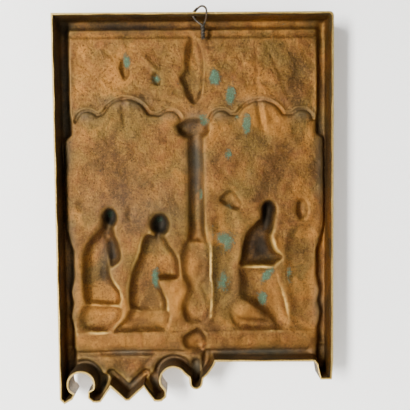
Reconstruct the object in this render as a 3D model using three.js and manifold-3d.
// Relief plaque: a hollow cast brass panel with kneeling figures under two lobed arches, a broken pierced
// crest along its lower edge, and a twisted iron wire loop to hang it by.
//
// Units are millimetres and +Z is up. The origin is the inside top of the wire loop, where a nail bears. The
// relief faces -Y, and the ground edge of the hollow back lies in the plane Y = 0, against the wall.
//
// The casting is worked out in a relief frame: x to the right as seen from the front, y up from the top edge,
// z forwards from the rim plane. Every boss on the front has a hollow behind it, so the metal stays thin.

import * as THREE from "three";
import { mergeVertices } from "three/addons/utils/BufferGeometryUtils.js";
import Module from "manifold-3d";

const wasm = await Module();
wasm.setup();

// ---- driving sizes of the casting ----
const HALF_WIDTH = 108;
const LOWER_EDGE = -272; // straight lower edge between the foot and the crest
const FOOT_END = -286.5; // short foot below that edge
const CREST_X = 55; // middle of the crest
const CREST_TIP = -301; // point of its chevron
const RIM_WALL = 2.4; // width of the ground rim
const SKIN = 3; // thickness of the relief, front to back
const SIDE_WALL = 2; // thickness of a boss beside its hollow
const SEAT = 6; // depth at which bosses and hollows start, inside the base plate
const FRONT_LIMIT = 40; // clear of every boss

// ---- depths of the hollow back, measured from the rim plane ----
const PLINTH_DEPTH = 11.5; // also the base plate
const PANEL_DEPTH = 13;
const SPANDREL_DEPTH = 15;
const ARCH_DEPTH = 16;
const TOP_RAIL_DEPTH = 18;
const SIDE_RAIL_DEPTH = 20;
const COLUMN_DEPTH = 20;
const VASE_DEPTH = 17;
const ROBE_DEPTH = 20;
const LEG_DEPTH = 17.5;
const ARM_DEPTH = 23.5;
const HEAD_DEPTH = 26;
const CREST_DEPTH = 17;

// ---- levels on the relief ----
const TOP_RAIL_FOOT = -10.5;
const CAVETTO_FOOT = -16.5;
const SPRING = -80; // springing of the arches
const CAPITAL_TOP = -82;
const CAPITAL_FOOT = -93;
const KNEELING_LEDGE = -249.5;
const PLINTH_FOOT = -264;
const FIELD_SIDE = 97.5; // spandrels and cavetto end here, beside the side columns

// ---- hanging wire ----
const LOOP_X = -7; // top of the loop, to one side of the middle
const LOOP_INSIDE = 3.5; // inside top of the loop above the top edge
const WIRE_RADIUS = 0.8;
const WIRE_HOLE = { x: -1, z: 7, radius: 2.3 };

// Round cut-outs of the crest, either side of its middle.
const CUT_OUTS = [
  { side: 1, y: -288 },
  { side: -1, y: -285 },
];

// ---- outlines ----
const DEGREE = Math.PI / 180;

// Points along a circular or elliptical arc, from one angle to another in degrees.
function arc(x, y, radiusX, radiusY, from, to, steps) {
  return Array.from({ length: steps + 1 }, (_, i) => {
    const angle = (from + ((to - from) * i) / steps) * DEGREE;
    return [x + radiusX * Math.cos(angle), y + radiusY * Math.sin(angle)];
  });
}

const ellipse = (x, y, radiusX, radiusY, steps) => arc(x, y, radiusX, radiusY, 0, 360, steps).slice(0, -1);

const rectangle = (x0, y0, x1, y1) => [
  [x0, y0],
  [x1, y0],
  [x1, y1],
  [x0, y1],
];

// A round-ended bar from one point to another.
function bar([x0, y0], [x1, y1], radius, steps = 3) {
  const heading = Math.atan2(y1 - y0, x1 - x0) / DEGREE;
  return [
    ...arc(x1, y1, radius, radius, heading - 90, heading + 90, steps),
    ...arc(x0, y0, radius, radius, heading + 90, heading + 270, steps),
  ];
}

// A smooth closed curve through a few points, cut into equal steps.
function softLoop(points, steps) {
  const curve = new THREE.CatmullRomCurve3(points.map(([x, y]) => new THREE.Vector3(x, y, 0)), true);
  return curve.getSpacedPoints(steps).slice(0, -1).map((p) => [p.x, p.y]);
}

const counterClockwise = (points) =>
  THREE.ShapeUtils.isClockWise(points.map(([x, y]) => new THREE.Vector2(x, y))) ? [...points].reverse() : points;

// The same outline moved outwards (or inwards, if the distance is negative) by mitred corners.
function grow(points, distance) {
  const loop = counterClockwise(points);
  return loop.map(([x, y], i) => {
    const [px, py] = loop[(i + loop.length - 1) % loop.length];
    const [nx, ny] = loop[(i + 1) % loop.length];
    const before = new THREE.Vector2(y - py, px - x).normalize();
    const after = new THREE.Vector2(ny - y, x - nx).normalize();
    const mitre = before.clone().add(after).normalize();
    const reach = distance / Math.max(mitre.dot(before), 0.45);
    return [x + mitre.x * reach, y + mitre.y * reach];
  });
}

// One side of the crest, from the notch beside the chevron out to the far end of the round cut-out.
function crestSide(side, cutY, endAngle) {
  const x = (offset) => CREST_X + side * offset;
  const tab = [
    [x(13), CREST_TIP + 10.5],
    [x(16.5), CREST_TIP + 5.5],
    [x(21), CREST_TIP - 0.8],
    [x(27), CREST_TIP - 1],
    [x(30.8), CREST_TIP + 2.4],
    [x(30.9), CREST_TIP + 7.5],
  ];
  const cutOut = arc(x(36.3), cutY, side * 9.7, 9.7, 200, endAngle, 8);
  return [...tab, ...cutOut];
}

// The true edge of the casting, anticlockwise from the top right corner as seen from the front.
function castingEdge() {
  const chevron = [
    [CREST_X - 1.5, CREST_TIP],
    [CREST_X + 1.5, CREST_TIP],
  ];
  return [
    [HALF_WIDTH, 0],
    ...arc(3.5 - HALF_WIDTH, -3.5, 3.5, 3.5, 90, 180, 4),
    [0.4 - HALF_WIDTH, LOWER_EDGE],
    [1.4 - HALF_WIDTH, FOOT_END],
    [10.6 - HALF_WIDTH, FOOT_END],
    [13.6 - HALF_WIDTH, LOWER_EDGE - 2],
    [15.5 - HALF_WIDTH, LOWER_EDGE],
    [-15, LOWER_EDGE + 1],
    [-13.5, LOWER_EDGE - 2.5],
    [-8.3, LOWER_EDGE - 9.4],
    [-5.3, LOWER_EDGE - 12],
    ...arc(0.7, -287.5, 5.3, 5.3, 190, 355, 5),
    [6.4, -283.5],
    ...crestSide(-1, CUT_OUTS[1].y, 32).reverse(),
    ...chevron,
    ...crestSide(1, CUT_OUTS[0].y, -28),
    [95.9, -295.5],
    [98, -299.5],
    [104.3, -303],
    [HALF_WIDTH, -299.5],
  ];
}

// A lobed arch: two low lobes and a taller one between them, closed along its springing.
function archLine(arch) {
  const [left, right] = arch.lobes;
  return [
    ...arc(right, SPRING - 2, arch.lobeRadius, arch.lobeRadius, 0, 138, 5),
    ...arc(arch.middle, SPRING - 2, arch.span, arch.rise, 24, 156, 8),
    ...arc(left, SPRING - 2, arch.lobeRadius, arch.lobeRadius, 42, 180, 5),
  ];
}

const ARCHES = [
  { lobes: [19.5, 84.5], lobeRadius: 11, middle: 54, span: 21, rise: 20.5 },
  { lobes: [-85.5, -21.5], lobeRadius: 11, middle: -52.5, span: 21, rise: 18.5 },
];

const archPanel = (arch) => [
  ...archLine(arch),
  [arch.lobes[0] - arch.lobeRadius, KNEELING_LEDGE],
  [arch.lobes[1] + arch.lobeRadius, KNEELING_LEDGE],
];

// Half-widths of a turned column down its height, given as [level, width].
const SIDE_COLUMN = [
  [-2, 8], [-74, 8], [CAPITAL_TOP, 9], [CAPITAL_FOOT + 1, 9], [CAPITAL_FOOT - 3, 3.4], [-165, 3],
  [-176, 6], [-184, 8.8], [-206, 8.8], [-218, 6], [-226, 8], [-236, 5.5], [-248, 8], [KNEELING_LEDGE - 14, 8],
];
const CENTRE_SHAFT = [
  [CAPITAL_TOP + 2, 11], [CAPITAL_FOOT + 3, 11], [CAPITAL_FOOT - 2, 6.2], [-165, 6.6], [-180, 8.5],
];
const CENTRE_VASE = [
  [-176, 8], [-189, 11.4], [-204, 11.4], [-213, 6.6], [-220, 8.5], [-228, 11.5], [-234, 11], [-243, 6.5],
];
const SHAFT_X = -1;
const VASE_X = 0.5;

// The outline of a column from its profile, mirrored about its axis.
function columnOutline(profile, axis) {
  const side = (sign) => profile.map(([level, width]) => [axis + sign * width, level]);
  return [...side(1), ...side(-1).reverse()];
}

// A column against one side of the casting: its outer half runs on to the edge.
function edgeColumnOutline(profile, side) {
  const wallFace = side * (HALF_WIDTH - RIM_WALL);
  const inner = profile.map(([level, width]) => [wallFace - side * width, level]);
  return [...inner, [side * HALF_WIDTH, inner.at(-1)[1]], [side * HALF_WIDTH, inner[0][1]]];
}

// ---- solids ----
function toSolid(geometry) {
  geometry.deleteAttribute("normal");
  geometry.deleteAttribute("uv");
  const merged = mergeVertices(geometry, 1e-4);
  const mesh = new wasm.Mesh({
    numProp: 3,
    vertProperties: new Float32Array(merged.attributes.position.array),
    triVerts: new Uint32Array(merged.index.array),
  });
  return new wasm.Manifold(mesh);
}

function toGeometry(solid) {
  const { vertProperties, triVerts } = solid.getMesh();
  const geometry = new THREE.BufferGeometry();
  geometry.setAttribute("position", new THREE.BufferAttribute(vertProperties, 3));
  geometry.setIndex(new THREE.BufferAttribute(triVerts, 1));
  geometry.computeVertexNormals();
  return geometry;
}

// A prism between two depths, its front and back edges rounded over by "round".
function prism(points, back, front, round = 0, segments = 1, hole = null) {
  const shape = new THREE.Shape(counterClockwise(points).map(([x, y]) => new THREE.Vector2(x, y)));
  if (hole) shape.holes.push(new THREE.Path(hole.map(([x, y]) => new THREE.Vector2(x, y))));
  const geometry = new THREE.ExtrudeGeometry(shape, {
    depth: front - back - 2 * round,
    bevelEnabled: round > 0,
    bevelThickness: round,
    bevelSize: round,
    bevelOffset: -round,
    bevelSegments: segments,
  });
  geometry.translate(0, 0, back + round);
  return toSolid(geometry);
}

// An ellipsoid bump or pit.
function ellipsoid([x, y, z], [radiusX, radiusY, radiusZ], widthSegments = 8, heightSegments = 6) {
  const geometry = new THREE.SphereGeometry(1, widthSegments, heightSegments);
  geometry.scale(radiusX, radiusY, radiusZ);
  geometry.translate(x, y, z);
  return toSolid(geometry);
}

// A rounded rib that follows a few points at one depth, as a fold of cloth or a moulding.
function rib(points, z, radius, height = radius) {
  const path = new THREE.CatmullRomCurve3(points.map(([x, y]) => new THREE.Vector3(x, y, 0)));
  const section = new THREE.Shape(ellipse(0, 0, radius, radius, 6).map(([x, y]) => new THREE.Vector2(x, y)));
  const geometry = new THREE.ExtrudeGeometry(section, { extrudePath: path, steps: points.length });
  geometry.scale(1, 1, height / radius);
  geometry.translate(0, 0, z);
  return toSolid(geometry);
}

const join = (solids) => solids.reduce((whole, solid) => whole.add(solid));

// ---- the relief ----
const raised = [];
const hollows = [];

// A boss on the front with its hollow behind it. The outline is the hollow's own edge.
function boss(points, depth, { round = 1, segments = 1, side = SIDE_WALL, hole = null } = {}) {
  const outerHole = hole && counterClockwise(grow(hole, -side));
  raised.push(prism(grow(points, side), SEAT, depth + SKIN, round, segments, outerHole));
  hollows.push(prism(points, SEAT, depth, round * 0.8, 1, hole));
}

// Frame: top rail with its cavetto, side columns, and the fields behind figures and arches.
function makeFrame() {
  boss(rectangle(-HALF_WIDTH, 0, HALF_WIDTH, TOP_RAIL_FOOT), TOP_RAIL_DEPTH);
  boss(rectangle(-FIELD_SIDE - 0.5, TOP_RAIL_FOOT, FIELD_SIDE + 0.5, CAVETTO_FOOT), SPANDREL_DEPTH + 1.3, { side: 1 });
  boss(rectangle(-HALF_WIDTH, -3, HALF_WIDTH, KNEELING_LEDGE), PANEL_DEPTH, { side: 0.5 });
  boss(rectangle(-92, PLINTH_FOOT, HALF_WIDTH, LOWER_EDGE + 3), PLINTH_DEPTH + 2.5, { side: 1 });
  for (const side of [-1, 1]) {
    boss(edgeColumnOutline(SIDE_COLUMN, side), SIDE_RAIL_DEPTH, { round: 1.5, segments: 2 });
  }
}

// Spandrels above the two arches, and the hollow moulding that follows each arch.
function makeArches() {
  const [right, left] = ARCHES;
  const spandrel = [
    [-FIELD_SIDE, CAVETTO_FOOT],
    [FIELD_SIDE, CAVETTO_FOOT],
    [FIELD_SIDE, SPRING - 2],
    ...archLine(right),
    ...archLine(left),
    [-FIELD_SIDE, SPRING - 2],
  ];
  boss(spandrel, SPANDREL_DEPTH, { round: 0.6, side: 0.8 });
  for (const arch of ARCHES) {
    const panel = archPanel(arch);
    const moulding = [...archLine(arch), ...grow(panel, -3.2).slice(0, archLine(arch).length).reverse()];
    boss(moulding, ARCH_DEPTH, { round: 0.7, side: 0.8 });
  }
}

// Centre column with its vase foot and the corbel under it, and the leaf pinnacle above it.
function makeCentre() {
  const capital = [[14, -86], [11, -92], [4, -95], [-9, -93], [-11, -86], [-7, -79], [6, -79], [12, -82]];
  boss(softLoop(capital, 14), COLUMN_DEPTH + 1, { round: 2, segments: 2 });
  boss(columnOutline(CENTRE_SHAFT, SHAFT_X), COLUMN_DEPTH, { round: 2, segments: 2 });
  boss(columnOutline(CENTRE_VASE, VASE_X), VASE_DEPTH, { round: 2.5, segments: 2 });
  const corbel = [[-2, -247], [8, -251.5], [11, -256], [8, -264], [-5, -268], [-8, -258]];
  boss(softLoop(corbel, 10), VASE_DEPTH + 1, { round: 2.5, segments: 2 });
  const leaf = [
    [0, -13], [-6, -22], [-9, -33], [-9, -47], [-6.5, -62], [-1, -69], [5, -65], [9, -56], [12, -47],
    [8, -40], [8, -30], [5, -19],
  ];
  boss(leaf, COLUMN_DEPTH - 1, { round: 2.5, segments: 2 });
}

// Gables and small pits in the spandrels.
function makeSpandrelRelief() {
  const strap = SPANDREL_DEPTH + 1.8;
  const straps = [
    [[47, -26], [36, -40]],
    [[36, -40], [29, -50]],
    [[-42, -31], [-29, -50]],
    [[-50, -24], [-50, -56]],
    [[-60, -26], [-67, -42]],
    [[-67, -42], [-75, -61]],
  ];
  for (const [from, to] of straps) boss(bar(from, to, 1.5, 2), strap, { round: 0.7, side: 1 });
  const pits = [
    [[55, -30], [50, -41], [54, -50], [59, -40]],
    [[32, -41], [26, -46], [27, -54], [33, -50]],
  ];
  for (const pit of pits) boss(pit, SPANDREL_DEPTH + 3, { round: 0.9, side: 1 });
}

// Attendants standing behind the kneeling figures, in low relief.
function makeAttendants() {
  const low = PANEL_DEPTH + 1.5;
  const rightBody = [
    [-79, -165], [-91, -163], [-98, -174], [-97, -200], [-98, -226], [-96, -246], [-77, -247],
    [-74, -225], [-71, -195], [-73, -175],
  ];
  const leftBody = [
    [-13, -161], [-21, -152], [-33, -153], [-36, -172], [-33, -200], [-33, -222], [-24, -229],
    [-14, -232], [-14, -205], [-15, -185],
  ];
  for (const body of [rightBody, leftBody]) boss(softLoop(body, 14), low, { round: 1, side: 1.5 });
  boss(ellipse(-85.5, -152, 5, 8.5, 12), low + 3, { round: 2 });
  boss([[-20, -141], [-30, -136], [-38, -149], [-32, -153], [-21, -147]], low + 1.5, { round: 1.5 });
  boss(ellipse(90, -148, 6.5, 6.5, 10), low, { round: 1.2, side: 1.5 });
  boss(ellipse(52, -155, 3.5, 7.5, 10), low, { round: 1.2, side: 1.5 });
}

// The three kneeling figures. Each is a set of outlines with the depth of its hollow.
const FIGURES = [
  {
    head: { x: 68.5, y: -157.5, rx: 6, ry: 8 },
    robe: [
      [74, -164], [81, -170.5], [87.5, -179], [90.8, -192], [91, -212], [88.5, -227], [80, -229],
      [66, -231], [60.3, -225], [61.5, -216], [67, -207], [69, -198], [66, -182], [64.5, -168],
    ],
    arm: [[73.5, -173], [74, -186], [69, -196.5], [63, -194.5], [60, -189.5], [62, -178], [66, -171]],
    legs: [
      [89, -227], [94, -233], [95.5, -241], [93, -247.5], [78, -249], [67, -245], [60.5, -238],
      [60.3, -228], [72, -225],
    ],
    folds: [
      [[83, -184], [82, -200], [83, -222]],
      [[76, -192], [74, -206], [73, -226]],
      [[68, -208], [66, -220], [68, -232]],
    ],
  },
  {
    head: { x: 28.5, y: -163.5, rx: 7.6, ry: 9.2 },
    robe: [
      [36, -170], [42, -174], [46, -187], [51, -200], [54, -213], [54, -228], [50, -234.5], [38, -237],
      [25, -235], [23.5, -226], [27, -216], [29, -208.5], [15, -207], [13, -196], [16, -187], [21, -179.5],
      [26, -172],
    ],
    arm: [[33, -190], [35, -202], [29, -206.5], [16, -206.5], [14, -198], [22, -192]],
    legs: [
      [53, -231], [58, -240], [65, -248.5], [44, -249.3], [26, -248], [21.8, -242], [23, -232], [38, -229],
    ],
    folds: [
      [[45, -192], [47, -208], [46, -228]],
      [[38, -200], [38, -214], [34, -232]],
      [[31, -210], [31, -222], [29, -234]],
    ],
  },
  {
    head: { x: -59, y: -152.5, rx: 6, ry: 7.5 },
    robe: [
      [-54.5, -158], [-48, -163], [-42, -169], [-38.5, -179], [-36.8, -190], [-36.8, -198], [-60, -198],
      [-66, -194.5], [-70, -190.5], [-64, -184.5], [-60.5, -175], [-62.5, -165], [-63.5, -158],
    ],
    arm: [[-50, -172], [-45, -182], [-51, -194], [-62, -195], [-68, -190.5], [-60, -187], [-55, -176]],
    legs: [
      [-36.5, -196.5], [-35.7, -212], [-35.7, -223], [-45, -229], [-55, -237], [-63, -249], [-73, -246.5],
      [-73.3, -236], [-70, -222], [-65, -209], [-59.5, -197],
    ],
    folds: [
      [[-42, -200], [-41, -212], [-43, -224]],
      [[-50, -200], [-52, -216], [-55, -232]],
      [[-57, -200], [-63, -218], [-67, -240]],
    ],
    feet: [[-28, -230], [-27, -238], [-32, -247.5], [-46, -249.5], [-62, -249], [-64, -242], [-48, -239.5], [-35, -237.5]],
  },
];

// Face, cap of hair and joined hands: front detail that has no hollow of its own.
function addFace({ x, y, rx, ry }) {
  const front = HEAD_DEPTH + SKIN;
  raised.push(ellipsoid([x, y - 0.1 * ry, front - 3], [rx * 0.86, ry * 0.9, 5]));
  raised.push(ellipsoid([x + 0.2 * rx, y + 0.3 * ry, front - 3.5], [rx * 1.12, ry * 0.86, 4.6]));
  raised.push(ellipsoid([x - 0.28 * rx, y - 0.12 * ry, front + 1], [0.9, 2.1, 1.6], 6, 4));
}

function makeFigures() {
  for (const { head, robe, arm, legs, feet, folds } of FIGURES) {
    boss(softLoop(robe, 24), ROBE_DEPTH, { round: 3, segments: 2 });
    boss(softLoop(arm, 12), ARM_DEPTH, { round: 2.4 });
    boss(softLoop(legs, 16), LEG_DEPTH, { round: 2.4 });
    if (feet) boss(softLoop(feet, 12), LEG_DEPTH - 1.5, { round: 2 });
    boss(ellipse(head.x, head.y, head.rx, head.ry, 12), HEAD_DEPTH, { round: 2, segments: 2 });
    addFace(head);
    for (const fold of folds) raised.push(rib(fold, ROBE_DEPTH + SKIN - 0.8, 1.6, 2.2));
  }
}

// Crest: a ring round each cut-out, a tab on each side and a chevron between them.
function makeCrest() {
  const options = { round: 1.6, side: 1.6 };
  for (const { side, y } of CUT_OUTS) {
    const ringX = CREST_X + side * 36.3;
    const inside = ellipse(ringX, y, 9, 9, 12);
    boss(ellipse(ringX, y, 16.5, 16.5, 18), CREST_DEPTH, { ...options, hole: inside });
    boss(bar([CREST_X + side * 20, -287], [CREST_X + side * 25, -298], 4), CREST_DEPTH, options);
    boss(bar([CREST_X + side * 14, -283], [CREST_X, -296], 3.6), CREST_DEPTH, options);
  }
  boss(bar([0.7, -276], [0.7, -289], 4), CREST_DEPTH, options);
  boss(bar([-8, -268], [-7, -279], 3.6), CREST_DEPTH, options);
  boss(rectangle(97, -262, HALF_WIDTH, -302), SIDE_RAIL_DEPTH, options);
  boss(rectangle(-97, -262, -HALF_WIDTH, FOOT_END), SIDE_RAIL_DEPTH, options);
}

// Row of shallow strokes on the plinth, where an inscription stood.
function makePlinthStrokes() {
  const strokes = 10;
  for (let i = 0; i < strokes; i += 1) {
    const x = 36 + i * 5.6;
    const length = i % 3 === 0 ? 5 : 3.6;
    raised.push(prism(rectangle(x, -254, x + 1.3, -254 - length), SEAT, PLINTH_DEPTH + SKIN + 0.8));
  }
}

// Small knobs where leaves of the front moulding reach past the edge.
function edgeKnobs() {
  const knobs = [[-62, 1.8], [-85, 2.6], [-90, 2.6], [-184, 1.8], [-199, 1.8], [-248, 2.2]];
  return knobs.map(([y, size]) => ellipsoid([HALF_WIDTH - 0.4, y, 9], [size, size, 4], 8, 5));
}

makeFrame();
makeArches();
makeCentre();
makeSpandrelRelief();
makeAttendants();
makeFigures();
makeCrest();
makePlinthStrokes();

function makeCasting() {
  const edge = castingEdge();
  const basePlate = prism(edge, -1.5, PLINTH_DEPTH + SKIN, 1);
  const body = join([basePlate, ...raised]).intersect(prism(edge, 0, FRONT_LIMIT));
  const tray = prism(edge, -1.5, PLINTH_DEPTH);
  const recess = join([tray, ...hollows]).intersect(prism(grow(edge, -RIM_WALL), -2, FRONT_LIMIT));
  const wireHole = new THREE.CylinderGeometry(WIRE_HOLE.radius, WIRE_HOLE.radius, 12, 10);
  wireHole.translate(WIRE_HOLE.x, 0, WIRE_HOLE.z);
  return join([body, ...edgeKnobs()]).subtract(recess).subtract(toSolid(wireHole));
}

// The wire: up from the twist, over the ground rim, round the loop, and back in through the hole.
function makeWire() {
  const route = [
    [-8.8, -7.5, 5.5],
    [-10, -4.6, 2],
    [-10.4, -2.2, -1.5],
    [-10.2, 1.8, -1.5],
    [LOOP_X - 1.2, 4, -0.4],
    [LOOP_X + 1.2, LOOP_INSIDE + WIRE_RADIUS, 1],
    [-3.2, 3, 4.4],
    [WIRE_HOLE.x - 0.2, 1, 6.6],
    [WIRE_HOLE.x, -1.2, 7],
    [WIRE_HOLE.x - 0.2, -3.4, 7.2],
    [-3.4, -6, 7],
    [-6.6, -7.8, 6.2],
  ];
  const path = new THREE.CatmullRomCurve3(route.map((p) => new THREE.Vector3(...p)));
  const section = new THREE.Shape(
    ellipse(0, 0, WIRE_RADIUS, WIRE_RADIUS, 8).map(([x, y]) => new THREE.Vector2(x, y)),
  );
  const loop = toSolid(new THREE.ExtrudeGeometry(section, { extrudePath: path, steps: 30 }));
  const twist = new THREE.CylinderGeometry(1.7, 1.3, 12.5, 8);
  twist.rotateX(-0.25);
  twist.translate(-7.8, -13, 7.4);
  return loop.add(toSolid(twist));
}

// ---- materials and assembly ----
const brass = new THREE.MeshStandardMaterial({ color: 0x9c7440, roughness: 0.5, metalness: 0.9 });
const iron = new THREE.MeshStandardMaterial({ color: 0x3a3933, roughness: 0.6, metalness: 0.8 });

const relief = new THREE.Group();
relief.rotation.x = Math.PI / 2;
relief.position.set(-LOOP_X, 0, -LOOP_INSIDE);

function addPart(name, solid, material) {
  const mesh = new THREE.Mesh(toGeometry(solid), material);
  mesh.name = name;
  relief.add(mesh);
}

addPart("plaque_casting", makeCasting(), brass);
addPart("hanging_wire", makeWire(), iron);

const part = new THREE.Group();
part.add(relief);

export default part;
